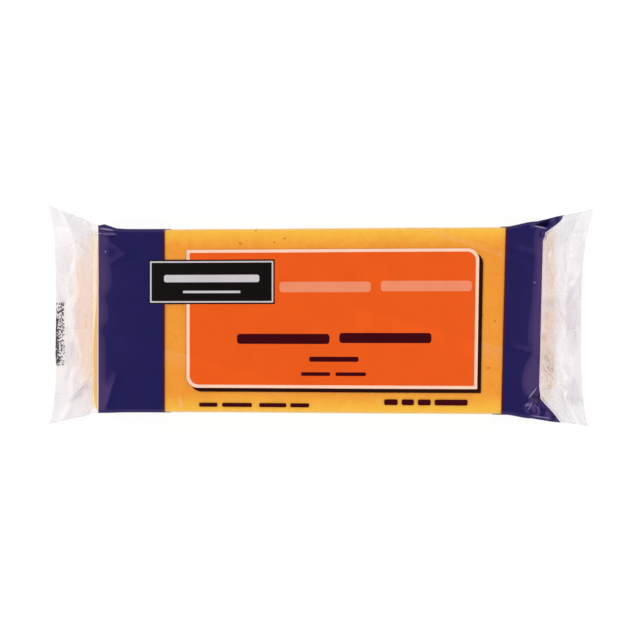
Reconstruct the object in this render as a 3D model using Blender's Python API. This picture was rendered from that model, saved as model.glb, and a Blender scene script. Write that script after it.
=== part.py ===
"""A block of cheddar sealed in clear film, lying on its back, as one closed solid.

Metres, +Z up. The origin is under the middle of the pack, on the surface that it lies on.

The film is one tube round the block, with a seam along the back. Past each end of the block its upper
and lower sheets come down like a gable to a flat fin half way up, its sides are tucked in between them,
and the fin is welded and cut straight across. The solid is the outside of all this. It is made as the
film is: one closed section after another is extruded from cut edge to cut edge.
"""

import math
from collections import namedtuple

import bmesh
import bpy

MM = 0.001

# The block of cheese, with its small edge radius. It is a little wider at its right end.
BLOCK_LENGTH = 134.0 * MM
BLOCK_HEIGHT = 27.5 * MM
WIDTH_LEFT = 54.4 * MM
WIDTH_RIGHT = 55.8 * MM
EDGE_ROUND = 2.2 * MM
SIDE_BULGE = 0.5 * MM
TOP_CROWN = 0.25 * MM
RIGHT_END_SLANT = 2.2 * MM

# The fins at the ends.
FIN_THICK = 0.6 * MM
FIN_DROOP = 0.7 * MM
FIN_WAVES = ((0.55 * MM, 31.0 * MM, 0.6), (0.30 * MM, 14.5 * MM, 2.1))

# The seam on the back: a welded strip pressed flat into the block, with a shallow groove at each edge.
SEAM_MIDDLE = 2.3 * MM
SEAM_WIDTH = 9.6 * MM
SEAM_GROOVE = 0.7 * MM
SEAM_DEPTH = 0.25 * MM

# One corner of an end: how far the fold stands off the block before it leaves it, where the fin's cut
# corner lies from the block's middle, and the power with which the cut edge runs out to that corner.
Corner = namedtuple("Corner", "lift cut_x cut_y spread")

# One end: its side of the block, how far the gable runs out, where the cut edge's middle lies, how much
# of the fold's way to the cut corner is gable, how strongly its sheets pucker, and its two corners.
End = namedtuple("End", "sign gable_run cut_middle gable_share pucker back front")

LEFT = End(
    sign=-1,
    gable_run=5.4 * MM,
    cut_middle=79.4 * MM,
    gable_share=0.60,
    pucker=0.30 * MM,
    back=Corner(lift=0.5 * MM, cut_x=81.9 * MM, cut_y=35.1 * MM, spread=5.0),
    front=Corner(lift=0.2 * MM, cut_x=81.6 * MM, cut_y=31.4 * MM, spread=6.0),
)
RIGHT = End(
    sign=1,
    gable_run=5.0 * MM,
    cut_middle=79.7 * MM,
    gable_share=0.56,
    pucker=0.45 * MM,
    back=Corner(lift=1.7 * MM, cut_x=83.4 * MM, cut_y=33.9 * MM, spread=2.6),
    front=Corner(lift=1.5 * MM, cut_x=81.7 * MM, cut_y=32.0 * MM, spread=4.0),
)
LIFT_RUN = 10.0 * MM

# Where the film leaves the block: how far it stands off the end and the sides there, the share of the
# fold's way that goes round the block's edge, and how evenly the fold then falls.
END_CLEAR = 0.1 * MM
SIDE_CLEAR = 0.2 * MM
RIM_SHARE = 0.18
FOLD_FALL = 0.9
SLANT_FADE = 8.0 * MM

# The corner that a gable's curve bends round at its foot, and the deepest corner of the tucked side.
FOOT_SHARE = 0.30
FOOT_HEIGHT = 1.2 * MM
TUCK_RUN = 1.5 * MM
TUCK_DEPTH = 7.0 * MM

# The power with which a sheet leaves its middle line on the block, and the puckers' waves across it.
BODY_SPREAD = 2.0
PUCKER_WAVES = 17.0
PUCKER_TURN = 2.0

# How finely each stretch is divided.
PANEL_STEPS = 12
ROUND_STEPS = 3
TUCK_STEPS = 3
BODY_STEPS = 10
RIM_STEPS = 3
GABLE_STEPS = 8
FIN_STEPS = 4
FIN_GRADING = 1.6

HALF_HEIGHT = BLOCK_HEIGHT / 2
HALF_LENGTH = BLOCK_LENGTH / 2
RIM_START = HALF_LENGTH - EDGE_ROUND

# A place on the section: which stretch it is on, how far along that (0 to 1), its side of the pack
# (+1 back, -1 front) and whether it is on the upper sheet (+1) or the lower one (-1).
Place = namedtuple("Place", "stretch share side level")


def mix(a, b, t):
    """The value t of the way from a to b, for numbers or tuples."""
    if isinstance(a, tuple):
        return tuple(mix(p, q, t) for p, q in zip(a, b))
    return a + (b - a) * t


def smooth(t):
    """0 to 1 with soft ends."""
    t = min(max(t, 0.0), 1.0)
    return t * t * (3 - 2 * t)


def bend(start, corner, end, t):
    """A point on the curve that leaves start and reaches end, both in line with corner."""
    return mix(mix(start, corner, t), mix(corner, end, t), t)


def half_width(x):
    """Half the block's width at x."""
    return mix(WIDTH_LEFT, WIDTH_RIGHT, smooth(x / BLOCK_LENGTH + 0.5)) / 2


def fold_lift(x, side):
    """How far the film's long fold stands off the block near an end."""
    end = RIGHT if x > 0 else LEFT
    corner = end.back if side > 0 else end.front
    return corner.lift * smooth((abs(x) - RIM_START + LIFT_RUN) / LIFT_RUN)


def seam_shares():
    """Places across the lower sheet of the seam's edges, as (share of the half width, side, in a groove)."""
    half = (WIDTH_LEFT + WIDTH_RIGHT) / 4 - EDGE_ROUND
    for edge, outward in ((SEAM_MIDDLE + SEAM_WIDTH / 2, 1), (SEAM_MIDDLE - SEAM_WIDTH / 2, -1)):
        for step, in_groove in ((0.0, False), (0.2, True), (0.8, True), (1.0, False)):
            y = edge + outward * step * SEAM_GROOVE
            yield abs(y) / half, int(math.copysign(1, y)), in_groove


def section_places():
    """The places of one section, in order round it from the middle of the top."""
    even = [k / PANEL_STEPS for k in range(PANEL_STEPS + 1)]
    clear = 0.4 / PANEL_STEPS
    places = []
    for side in (1, -1):
        edges = {share: groove for share, edge_side, groove in seam_shares() if edge_side == side}
        lower = sorted([s for s in even if all(abs(s - e) > clear for e in edges)] + list(edges))
        upper = [Place("panel", s, side, 1) for s in even]
        upper += [Place("round", k / (ROUND_STEPS + 1), side, 1) for k in range(1, ROUND_STEPS + 1)]
        upper += [Place("tuck", k / TUCK_STEPS, side, 1) for k in range(TUCK_STEPS + 1)]
        under = [Place("groove" if edges.get(s) else "panel", s, side, -1) for s in lower]
        under += [Place("round", k / (ROUND_STEPS + 1), side, -1) for k in range(1, ROUND_STEPS + 1)]
        under += [Place("tuck", k / TUCK_STEPS, side, -1) for k in range(TUCK_STEPS)]
        half = upper + under[::-1]
        places += half if side > 0 else half[::-1][1:-1]
    return places


def body_frame(x):
    """Middle line, fold and tuck of a section on the block, as functions of the side."""

    def middle(side):
        return (x, 0.0, HALF_HEIGHT)

    def fold(side):
        return (x, half_width(x) + fold_lift(x, side), HALF_HEIGHT)

    def tuck(side):
        return (x, half_width(x) + SIDE_BULGE, 0.0)

    return middle, fold, tuck


def fold_on_gable(end, side, run):
    """The fold at a share of its straight way from the block to the fin's cut corner."""
    corner = end.back if side > 0 else end.front
    start_y = half_width(end.sign * RIM_START) + fold_lift(end.sign * RIM_START, side)
    x, y = mix((RIM_START, start_y), (corner.cut_x, corner.cut_y), run)
    fall = 1 - smooth(run / end.gable_share) ** FOLD_FALL
    return (x, y, FIN_THICK / 2 + (HALF_HEIGHT - FIN_THICK / 2) * fall)


def rim_frame(end, t):
    """A section where the film turns down over the end of the block."""

    def middle(side):
        return bend(
            (RIM_START, 0.0, HALF_HEIGHT),
            (HALF_LENGTH, 0.0, HALF_HEIGHT),
            (HALF_LENGTH + END_CLEAR, 0.0, HALF_HEIGHT - EDGE_ROUND),
            t,
        )

    def fold(side):
        return fold_on_gable(end, side, RIM_SHARE * t)

    def tuck(side):
        half = half_width(end.sign * HALF_LENGTH)
        return bend(
            (RIM_START, half + SIDE_BULGE, 0.0),
            (HALF_LENGTH, half + SIDE_BULGE, 0.0),
            (HALF_LENGTH + SIDE_CLEAR, half - EDGE_ROUND, 0.0),
            t,
        )

    return middle, fold, tuck


def gable_frame(end, t):
    """A section between the block's end and the root of the fin."""

    def middle(side):
        return bend(
            (HALF_LENGTH + END_CLEAR, 0.0, HALF_HEIGHT - EDGE_ROUND),
            (HALF_LENGTH + FOOT_SHARE * end.gable_run, 0.0, FOOT_HEIGHT),
            (HALF_LENGTH + end.gable_run, 0.0, FIN_THICK / 2),
            t,
        )

    def fold(side):
        return fold_on_gable(end, side, mix(RIM_SHARE, end.gable_share, t))

    def tuck(side):
        half = half_width(end.sign * HALF_LENGTH)
        x, y, _ = fold_on_gable(end, side, end.gable_share)
        return bend(
            (HALF_LENGTH + SIDE_CLEAR, half - EDGE_ROUND, 0.0),
            (HALF_LENGTH + TUCK_RUN, half - TUCK_DEPTH, 0.0),
            (x, y, 0.0),
            t,
        )

    return middle, fold, tuck


def fin_frame(end, t):
    """A section of the flat fin."""

    def middle(side):
        return (mix(HALF_LENGTH + end.gable_run, end.cut_middle, t), 0.0, FIN_THICK / 2)

    def fold(side):
        return fold_on_gable(end, side, mix(end.gable_share, 1.0, t))

    def tuck(side):
        x, y, _ = fold(side)
        return (x, y, 0.0)

    return middle, fold, tuck


def panel_point(place, end, frame, share, pucker):
    """A point across a sheet, from its middle line out to its fold."""
    middle, fold, _ = frame
    near, far = middle(place.side), fold(place.side)
    spread = (end.back if place.side > 0 else end.front).spread if end else BODY_SPREAD
    x, _, height = mix(near, far, share**spread)
    wave = 0.5 + 0.5 * math.sin(PUCKER_WAVES * share + PUCKER_TURN * place.level)
    height -= pucker * math.sin(math.pi * share) * wave
    return (x, mix(near, far, share)[1], height)


def section_point(place, end, frame, pucker):
    """A place's point, with its sides and heights still counted from the middle of the section."""
    _, fold, tuck = frame
    corner, inner = fold(place.side), tuck(place.side)
    drop = math.dist(corner, inner)
    reach = min(EDGE_ROUND, 0.45 * drop)
    sheet_end = 1 - reach / corner[1]
    if place.stretch in ("panel", "groove"):
        x, y, height = panel_point(place, end, frame, place.share * sheet_end, pucker)
        if place.stretch == "groove":
            height -= min(SEAM_DEPTH, 0.6 * height)
        return (x, y, height)
    side_start = mix(corner, inner, reach / drop)
    if place.stretch == "round":
        return bend(panel_point(place, end, frame, sheet_end, pucker), corner, side_start, place.share)
    return mix(side_start, inner, place.share)


def fin_rise(end, x, y):
    """How far the fin and the foot of the gable wave above or below the middle of the block's height."""
    weight = smooth((x - HALF_LENGTH) / (end.cut_middle - HALF_LENGTH))
    waves = sum(size * math.sin(2 * math.pi * y / length + turn) for size, length, turn in FIN_WAVES)
    return weight * (end.sign * waves - FIN_DROOP)


def crown(x, y):
    """How far the top of the block swells above its edges. Its back is flat."""
    return TOP_CROWN * max(1 - (x / RIM_START) ** 2, 0.0) * max(1 - (y / (WIDTH_LEFT / 2)) ** 2, 0.0)


def slanted(x, y, end):
    """x with the right end's small slant, which grows over the last stretch of the block."""
    if end is not RIGHT:
        return x
    weight = smooth((x - RIM_START + LIFT_RUN) / LIFT_RUN) * (1 - smooth((x - HALF_LENGTH) / SLANT_FADE))
    return x + RIGHT_END_SLANT * weight * (y / WIDTH_RIGHT - 0.5)


def section(end, frame, pucker=0.0):
    """The points of a whole section."""
    points = []
    for place in section_places():
        x, y, height = section_point(place, end, frame, pucker)
        y *= place.side
        if end:
            rise = fin_rise(end, x, y)
            x = end.sign * slanted(x, y, end)
        else:
            rise = crown(x, y) if place.level > 0 else 0.0
            x = slanted(x, y, RIGHT) if x > 0 else x
        points.append((x, y, HALF_HEIGHT + place.level * height + rise))
    return points


def end_sections(end):
    """The sections of one end, from the block out to the cut edge."""
    for k in range(1, RIM_STEPS + 1):
        yield section(end, rim_frame(end, k / RIM_STEPS))
    for k in range(1, GABLE_STEPS + 1):
        t = k / GABLE_STEPS
        yield section(end, gable_frame(end, t), end.pucker * math.sin(math.pi * t))
    for k in range(1, FIN_STEPS + 1):
        t = 1 - (1 - k / FIN_STEPS) ** FIN_GRADING
        yield section(end, fin_frame(end, t))


def all_sections():
    """Every section of the pack from the left cut edge to the right one."""
    yield from reversed(list(end_sections(LEFT)))
    for k in range(BODY_STEPS + 1):
        x = mix(-RIM_START, RIM_START, k / BODY_STEPS)
        yield section(None, body_frame(x))
    yield from end_sections(RIGHT)


def pack_mesh():
    """The pack as one closed mesh: its sections extruded one from the other, and its two cut edges filled."""
    bm = bmesh.new()
    sections = all_sections()
    ring = [bm.verts.new(point) for point in next(sections)]
    edges = [bm.edges.new((ring[k - 1], ring[k])) for k in range(len(ring))]
    for points in sections:
        made = bmesh.ops.extrude_edge_only(bm, edges=edges)["geom"]
        edges = [item for item in made if isinstance(item, bmesh.types.BMEdge) and item.is_boundary]
        where = {vert: point for vert, point in zip(ring, points)}
        new_ring = []
        for vert in ring:
            (new,) = [e.other_vert(vert) for e in vert.link_edges if e.other_vert(vert) in made]
            new.co = where[vert]
            new_ring.append(new)
        ring = new_ring
    bmesh.ops.edgeloop_fill(bm, edges=[edge for edge in bm.edges if edge.is_boundary])
    bmesh.ops.recalc_face_normals(bm, faces=bm.faces)
    bmesh.ops.triangulate(bm, faces=bm.faces)
    return bm


def centre_over_origin(bm):
    """Moves the mesh so that the middle of its outline is over the origin and it lies on z = 0."""
    corners = [[f(v.co[axis] for v in bm.verts) for axis in range(3)] for f in (min, max)]
    low, high = corners
    shift = (-(low[0] + high[0]) / 2, -(low[1] + high[1]) / 2, -low[2])
    bmesh.ops.translate(bm, verts=bm.verts, vec=shift)


def wrapped_cheese():
    """The material: cheddar seen through clear film."""
    material = bpy.data.materials.new("wrapped_cheddar")
    material.use_nodes = True
    shader = material.node_tree.nodes["Principled BSDF"]
    shader.inputs["Base Color"].default_value = (0.87, 0.36, 0.05, 1.0)
    shader.inputs["Roughness"].default_value = 0.25
    shader.inputs["Metallic"].default_value = 0.0
    material.diffuse_color = (0.87, 0.36, 0.05, 1.0)
    return material


def main():
    for old in list(bpy.data.objects):
        bpy.data.objects.remove(old)
    pack = bpy.data.collections.new("cheddar_block")
    bpy.context.scene.collection.children.link(pack)
    bm = pack_mesh()
    centre_over_origin(bm)
    mesh = bpy.data.meshes.new("sealed_pack")
    bm.to_mesh(mesh)
    bm.free()
    mesh.materials.append(wrapped_cheese())
    mesh.shade_smooth()
    mesh.set_sharp_from_angle(angle=math.radians(40))
    pack.objects.link(bpy.data.objects.new("sealed_pack", mesh))


main()
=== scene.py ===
# %% [markdown]
# A half pound block of cheddar comes sealed in a tube of clear, printed film, with a flat fin welded across
# each end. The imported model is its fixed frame: one closed solid of the right size, lying on its back.
# Everything made here keeps within a millimetre of its box, in metres, with +Z up out of the printed face.

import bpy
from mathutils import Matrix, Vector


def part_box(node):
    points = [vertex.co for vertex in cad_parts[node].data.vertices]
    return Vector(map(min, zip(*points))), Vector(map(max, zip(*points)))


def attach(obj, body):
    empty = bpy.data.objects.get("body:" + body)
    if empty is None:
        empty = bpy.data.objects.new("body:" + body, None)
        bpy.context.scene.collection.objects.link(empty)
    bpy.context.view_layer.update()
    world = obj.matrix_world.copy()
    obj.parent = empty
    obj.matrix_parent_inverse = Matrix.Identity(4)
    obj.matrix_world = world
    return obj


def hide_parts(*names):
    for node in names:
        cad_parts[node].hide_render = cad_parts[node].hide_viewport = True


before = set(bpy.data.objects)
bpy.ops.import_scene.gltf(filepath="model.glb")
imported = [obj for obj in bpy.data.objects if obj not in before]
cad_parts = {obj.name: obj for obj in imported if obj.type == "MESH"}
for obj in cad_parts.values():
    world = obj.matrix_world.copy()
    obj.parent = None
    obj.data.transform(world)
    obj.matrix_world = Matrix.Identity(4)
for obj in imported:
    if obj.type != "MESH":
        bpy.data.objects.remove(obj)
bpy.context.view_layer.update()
low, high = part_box("sealed_pack")
print("frame:", [round(1000 * (b - a), 1) for a, b in zip(low, high)], "mm")

# %% [markdown]
# The sizes that everything else is worked out from. They repeat the solid's own sizes, because the film lies
# on the surface of the solid that it replaces. Only the right end's slant is a little less than the solid's.

# %% Sizes of the block
import math
import random
from collections import namedtuple
from functools import reduce

import bmesh
import bpy
from mathutils import Vector, noise

MM = 0.001
BLOCK_LENGTH = 134.0 * MM
BLOCK_HEIGHT = 27.5 * MM
WIDTH_LEFT = 54.4 * MM
WIDTH_RIGHT = 55.8 * MM
EDGE_ROUND = 2.2 * MM
FILM_EDGE = 1.1 * MM
SIDE_BULGE = 0.3 * MM
TOP_CROWN = 0.25 * MM
RIGHT_END_SLANT = 1.35 * MM
HALF_LENGTH = BLOCK_LENGTH / 2
HALF_HEIGHT = BLOCK_HEIGHT / 2
HALF_WIDTH = (WIDTH_LEFT + WIDTH_RIGHT) / 4
RIM_START = HALF_LENGTH - EDGE_ROUND
block_size = (BLOCK_LENGTH, 2 * HALF_WIDTH, BLOCK_HEIGHT)
print("block:", [round(1000 * size, 1) for size in block_size], "mm")

# %% [markdown]
# The two ends differ a little, so each has a record of its own. A gable is the slope of film from the
# block's rim out to the fin. At each corner, lift is how far the film stands off the block's long edge,
# and cut_x and cut_y are where the fin's own corner lies. A high spread keeps the sheet level with its
# middle until close to the fold, hold keeps the fold up for longer, and ear is how much of the sheet
# stays up beside the fold, like a narrow shelf.

# %% The film's two ends
Corner = namedtuple("Corner", "lift cut_x cut_y spread hold ear")
End = namedtuple("End", "sign gable_run cut_middle gable_share back front")
LEFT = End(
    -1, 6.4 * MM, 79.4 * MM, 0.60,
    Corner(0.5 * MM, 81.9 * MM, 35.1 * MM, 5.0, 0.05, 0.0),
    Corner(0.2 * MM, 81.6 * MM, 31.4 * MM, 6.0, 0.05, 0.0),
)
RIGHT = End(
    1, 6.2 * MM, 79.7 * MM, 0.56,
    Corner(1.7 * MM, 83.4 * MM, 33.9 * MM, 2.6, 0.16, 0.28),
    Corner(1.2 * MM, 81.7 * MM, 32.0 * MM, 4.0, 0.16, 0.40),
)
MIDDLE = Vector((low.x + LEFT.back.cut_x, high.y - LEFT.back.cut_y, low.z + HALF_HEIGHT))
print("middle of the block:", [round(1000 * c, 2) for c in MIDDLE], "mm")

# %% [markdown]
# The film starts flat, as a web off a roll, and its print is laid out on it there. So each point of the
# film has a place on the flat web: how far it is along, and how far it is across from the middle of the
# printed face. Past the block's rim the web runs round the edge, down the gable and out along the fin.

# %% Sizes of the flat web
RIM_WEB = EDGE_ROUND * math.pi / 2
GABLE_WEB = 14.2 * MM
FIN_WEB = 6.2 * MM
END_WEB = RIM_WEB + GABLE_WEB + FIN_WEB
WEB_LENGTH = 2 * (RIM_START + END_WEB)
WEB_QUARTER = HALF_WIDTH + HALF_HEIGHT
WEB_ROUND = 4 * WEB_QUARTER
FOLD_ROUND = 0.15 * MM
FIN_THICK = 0.5 * MM
LIFT_RUN = 10.0 * MM
print("web:", round(1000 * WEB_LENGTH, 1), "x", round(1000 * WEB_ROUND, 1), "mm")


def mix(a, b, t):
    """The value t of the way from a to b."""
    return a + (b - a) * t


def smooth(t):
    """0 to 1 with soft ends."""
    t = min(max(t, 0.0), 1.0)
    return t * t * (3 - 2 * t)


def bend(start, corner, end, t):
    """A point on the curve that leaves start and reaches end, both in line with corner."""
    return mix(mix(start, corner, t), mix(corner, end, t), t)


# %% [markdown]
# At any station along the web the film's cross-section hangs from three guides: the middle of the sheet,
# the fold at its side, and the tuck, where the side is pushed in at half height. On the block the fold is
# the block's long edge. Near each end it stands off that edge a little, and at the back left it rises for
# a few millimetres more, as a small ear.

# %% Guides of a section on the block
BODY_SPREAD = 2.0
EAR_PLACE = 63.4 * MM
EAR_RUN = 3.6 * MM
EAR_LIFT = 1.1 * MM
Guide = namedtuple("Guide", "middle fold tuck fold_web fold_round spread shelf")


def half_width(x):
    """Half the block's width at x."""
    return mix(WIDTH_LEFT, WIDTH_RIGHT, smooth(x / BLOCK_LENGTH + 0.5)) / 2


def edge_lift(x, end, side):
    """How far the film's fold stands off the block's long edge near an end."""
    corner = end.back if side > 0 else end.front
    lift = corner.lift * smooth((abs(x) - RIM_START + LIFT_RUN) / LIFT_RUN)
    if end is LEFT and side > 0:
        lift += EAR_LIFT * max(1 - abs(abs(x) - EAR_PLACE) / EAR_RUN, 0.0)
    return lift


def body_guide(x, side):
    """The guides of a section on the block."""
    lift = edge_lift(x, RIGHT if x > 0 else LEFT, side)
    half = half_width(x)
    return Guide(
        Vector((x, 0, HALF_HEIGHT)),
        Vector((x, half + lift, HALF_HEIGHT)),
        Vector((x, half + SIDE_BULGE, 0)),
        HALF_WIDTH + lift,
        FILM_EDGE,
        BODY_SPREAD,
        1.0,
    )


# %% [markdown]
# Past the block each guide is a curve or a straight run. The film goes straight down the block's end face
# and then sweeps out to the fin, so the gable's middle is a bend with its corner close to the end face. The
# fold runs straight to the fin's corner, and the side that is left over is tucked in between the sheets.
# Near the fold the sheet stays high much longer, which gives such packs their pointed corners, and at the
# right end a narrow shelf of it stays up beside the fold, as an ear.

# %% Guides of a section past the block
RIM_SQUARE = 0.36
FACE_GAP = 0.1 * MM
GABLE_CORNER = (0.16, 2.2 * MM)
TUCK_REACH = 12.0 * MM
TUCK_BEND = 0.3 * MM
FOLD_SLACK = 0.5 * MM
FOLD_HASTE = 0.28
FALL_LATER = 0.10
EAR_END = 0.55
POINT_SPREAD = 20.0
POINT_BY = 0.16
POINT_LEAVES = 0.3
POINT_FADE = 0.4
SHARP_BY = 0.25


def end_guide(end, side, share):
    """The guides of a section past the rim, share of the web's way from the rim to the cut edge."""
    corner = end.back if side > 0 else end.front
    half = half_width(end.sign * HALF_LENGTH)
    gone = share * END_WEB
    lift = edge_lift(end.sign * RIM_START, end, side)
    rim_fold = Vector((RIM_START, half + lift, HALF_HEIGHT))
    cut = Vector((corner.cut_x, corner.cut_y, 0))
    across = mix(rim_fold, cut, share + FOLD_HASTE * share * (1 - share))
    fall = 1 - smooth((share - corner.hold) / (end.gable_share + FALL_LATER))
    fold = Vector((across.x, across.y, mix(FIN_THICK / 2, HALF_HEIGHT, fall)))
    depth = WEB_QUARTER - corner.cut_y - FOLD_SLACK
    root = mix(rim_fold, cut, (RIM_WEB + GABLE_WEB) / END_WEB)
    face = HALF_LENGTH + FACE_GAP
    foot = HALF_LENGTH + end.gable_run
    tuck_start = Vector((face + FACE_GAP, half - EDGE_ROUND, 0))
    if gone <= RIM_WEB:
        t = gone / RIM_WEB
        turn = t ** (1 / RIM_SQUARE) * math.pi / 2
        middle = Vector((
            mix(RIM_START, face, math.sin(turn) ** RIM_SQUARE), 0,
            HALF_HEIGHT - EDGE_ROUND * (1 - max(math.cos(turn), 0.0) ** RIM_SQUARE),
        ))
        bulge = half + SIDE_BULGE
        tuck = bend(Vector((RIM_START, bulge, 0)), Vector((face, bulge, 0)), tuck_start, t)
    elif gone <= RIM_WEB + GABLE_WEB:
        t = (gone - RIM_WEB) / GABLE_WEB
        middle = bend(
            Vector((face, 0, HALF_HEIGHT - EDGE_ROUND)),
            Vector((face + GABLE_CORNER[0] * end.gable_run, 0, GABLE_CORNER[1])),
            Vector((foot, 0, FIN_THICK / 2)),
            t,
        )
        tuck_corner = Vector((face + TUCK_BEND, half - TUCK_REACH, 0))
        tuck = bend(tuck_start, tuck_corner, Vector((root.x, root.y - depth, 0)), t)
    else:
        t = (gone - RIM_WEB - GABLE_WEB) / FIN_WEB
        middle = Vector((mix(foot, end.cut_middle, t), 0, FIN_THICK / 2))
        tuck = Vector((fold.x, fold.y - depth, 0))
    spread = mix(POINT_SPREAD, corner.spread, smooth((share - POINT_LEAVES) / POINT_FADE))
    spread = mix(BODY_SPREAD, spread, smooth(share / POINT_BY))
    # in the fin the tuck ends on the same curve as the sheets that it lies between
    in_line = mix(middle.x, fold.x, (tuck.y / fold.y) ** spread)
    tuck.x = mix(tuck.x, in_line, smooth((gone - RIM_WEB - 0.5 * GABLE_WEB) / (0.5 * GABLE_WEB)))
    return Guide(
        middle,
        fold,
        tuck,
        mix(HALF_WIDTH + lift, corner.cut_y + FOLD_SLACK, share),
        mix(FILM_EDGE, FOLD_ROUND, min(share / SHARP_BY, 1.0)),
        spread,
        1 - corner.ear * max(1 - share / EAR_END, 0.0),
    )


# %% [markdown]
# Film is pulled tight over a block, but it doesn't follow the last few millimetres before each end: it
# leaves the face along a wandering line and falls away to the rim. That facet is what catches the light
# in a long bright streak down each end. The line is kept as how far inside the rim it runs at some heights
# across the pack, and the stretches between are straight, as they are in stretched film.

# %% Where the film leaves the face near each end
FALL_SLOPE = 0.05
FALL_CURVE = 15.0
FALL_PAST = 2.0 * MM
FALL_KEPT = 1.0 * MM
FALL_FADE = 6.0 * MM
LEFT_LEAVES = (
    (-27.0, 2.6), (-23.8, 3.4), (-20.0, 3.3), (-17.6, 1.9), (-10.4, 1.8), (-5.5, 1.5), (-2.8, 0.1),
    (0.4, 2.4), (3.9, 2.5), (6.9, 1.4), (10.6, 3.5), (14.0, 3.5), (18.0, 2.7), (24.9, 2.6), (28.0, 1.5),
)
RIGHT_LEAVES = (
    (-28.0, 0.6), (-26.8, 2.4), (-24.6, 2.8), (-23.7, 0.0), (-22.8, 0.4), (-21.2, 3.0), (-17.9, 3.8),
    (-13.4, 2.6), (-9.2, 0.0), (-5.7, 1.8), (-0.4, 1.5), (6.4, 0.8), (18.3, 0.2), (24.0, 0.8), (28.0, 0.0),
)


def along_line(points, place):
    """The height of a line through points at a place, both in millimetres."""
    before = points[0]
    for point in points:
        if place <= point[0]:
            span = point[0] - before[0]
            return mix(before[1], point[1], (place - before[0]) / span) if span else point[1]
        before = point
    return before[1]


def rim_fall(end, x, y, gone):
    """How far the film has fallen away from the face at x, or at the rim and gone past it."""
    leaves = RIGHT_LEAVES if end is RIGHT else LEFT_LEAVES
    run = along_line(leaves, y / MM) * MM
    past = min(gone, FALL_PAST)
    fallen = max(run + (x - RIM_START if gone <= 0 else past), 0.0)
    fade = 1 - smooth((gone - FALL_KEPT) / FALL_FADE)
    return (FALL_SLOPE * fallen + FALL_CURVE * fallen * fallen) * fade


# %% [markdown]
# Nothing about loose film is quite straight. The fins wave and droop a little, and the foot of each gable,
# where its two sheets come together, wanders in and out along the pack. The right end of the block is cut
# a little out of square. At the back right corner the film sinks into a pocket between the block's edge
# and its own fold.

# %% Waves, wander, slant and pocket
FIN_DROOP = 0.7 * MM
FIN_WAVES = ((0.45 * MM, 31.0 * MM, 0.6), (0.22 * MM, 14.5 * MM, 2.1))
FOOT_WANDER = 2.6 * MM
FOOT_WAVE = 6.5 * MM
FOOT_RISE = 0.9
FOOT_PLACE = 0.95
FOOT_SEED = (0.3, 4.7)
FOOT_REACH = 16 * MM
FOOT_CALM = 8 * MM
SLANT_FADE = 8 * MM
POCKET_START = 63.0 * MM
POCKET_RUN_IN = 3.0 * MM
POCKET_END = 69.4 * MM
POCKET_RUN_OUT = 2.5 * MM
POCKET_DEPTH = 2.4 * MM
POCKET_INSET = 0.2 * MM
POCKET_WIDENS = 0.35
POCKET_LEAST = 0.5 * MM


def fin_rise(end, x, y):
    """How far the fin and the foot of the gable wave above or below half height."""
    weight = smooth((x - HALF_LENGTH) / (end.cut_middle - HALF_LENGTH))
    waves = sum(size * math.sin(2 * math.pi * y / length + turn) for size, length, turn in FIN_WAVES)
    return weight * (end.sign * waves - FIN_DROOP)


def foot_wander(end, y, out):
    """How far the foot of the gable wanders along the pack, where the two sheets come together."""
    on_gable = smooth((out - RIM_WEB) / (FOOT_RISE * GABLE_WEB))
    on_fin = smooth((out - RIM_WEB - FOOT_PLACE * GABLE_WEB) / FIN_WEB)
    calm = 1 - smooth((abs(y) - FOOT_REACH) / FOOT_CALM)
    wave = noise.noise((FOOT_SEED[0], y / FOOT_WAVE, FOOT_SEED[1] * end.sign))
    return FOOT_WANDER * wave * on_gable * (1 - on_fin) * calm


def slant(x, y):
    """How far the right end's small slant moves a point along the pack."""
    weight = smooth((x - RIM_START + LIFT_RUN) / LIFT_RUN) * (1 - smooth((x - HALF_LENGTH) / SLANT_FADE))
    return RIGHT_END_SLANT * weight * (y / WIDTH_RIGHT - 0.5)


def pocket(x, y):
    """How deep the film sinks at the back right corner, between the block's edge and the film's fold."""
    edge = half_width(x) - POCKET_INSET
    fold = half_width(x) + edge_lift(min(x, RIM_START), RIGHT, 1) + POCKET_WIDENS * max(x - RIM_START, 0.0)
    across = (y - edge) / max(fold - edge, POCKET_LEAST)
    dip = max(1 - abs(2 * across - 1), 0.0)
    along = smooth((x - POCKET_START) / POCKET_RUN_IN)
    along *= 1 - smooth((x - POCKET_END + POCKET_RUN_OUT) / POCKET_RUN_OUT)
    return POCKET_DEPTH * dip * along


# %% [markdown]
# A point of the film is then found from its section's guides. Its place across the section is one of three
# stretches: the sheet, the rounded fold, or the side, which past the block becomes the tuck. The small moves
# above are added last.

# %% A point of the film
SHEET, FOLD, SIDE = range(3)
EAR_FALL = 0.07
FOLD_MOST = 0.45


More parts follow.
